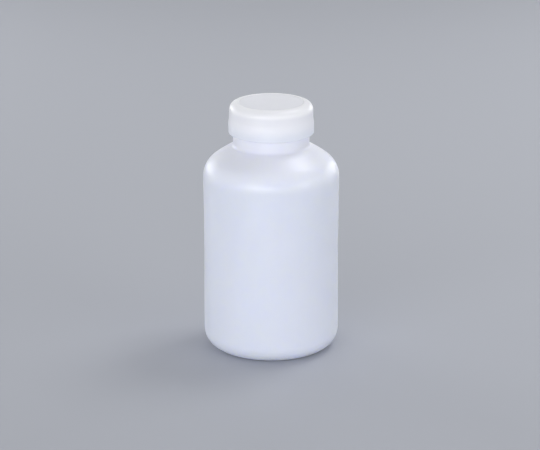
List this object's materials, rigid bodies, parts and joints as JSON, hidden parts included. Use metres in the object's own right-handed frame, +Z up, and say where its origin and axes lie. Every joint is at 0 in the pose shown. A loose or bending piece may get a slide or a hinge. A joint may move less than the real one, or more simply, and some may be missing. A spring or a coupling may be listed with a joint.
{
  "type": "reagent bottle",
  "caption": "Wide-mouth reagent bottle of white translucent plastic, with a right-handed screw cap that unscrews and lifts an inner sealing lid off the mouth.",
  "frame": {"origin": "centre of the foot ring, on the plane that the bottle stands on", "axes": "+Z up along the axis of the body, neck and cap; the mould's parting line runs up the +X and -X sides"},
  "size_m": [0.0788, 0.0786, 0.1469],
  "materials": {
    "bottle_plastic": "translucent natural polyethylene, satin, blow-moulded",
    "lid_plastic": "soft natural polyethylene, satin",
    "cap_plastic": "white translucent polyethylene, satin, injection-moulded"
  },
  "bodies": {
    "bottle": {"bottle": "bottle_plastic"},
    "lid": {"inner_lid": "lid_plastic"},
    "cap": {"screw_cap": "cap_plastic"}
  },
  "joints": [
    {"name": "cap_lift", "type": "slide", "parent": "bottle", "child": "lid", "axis": [0, 0, 1], "range_m": [0, 0.02]},
    {"name": "cap_turn", "type": "hinge", "parent": "lid", "child": "cap", "pos_m": [0, 0, 0.14], "axis": [0, 0, 1], "range_deg": [0, 1800]}
  ],
  "couplings": [
    {"joint": "cap_lift", "follows": "cap_turn", "m_per_rad": 0.00063662}
  ]
}
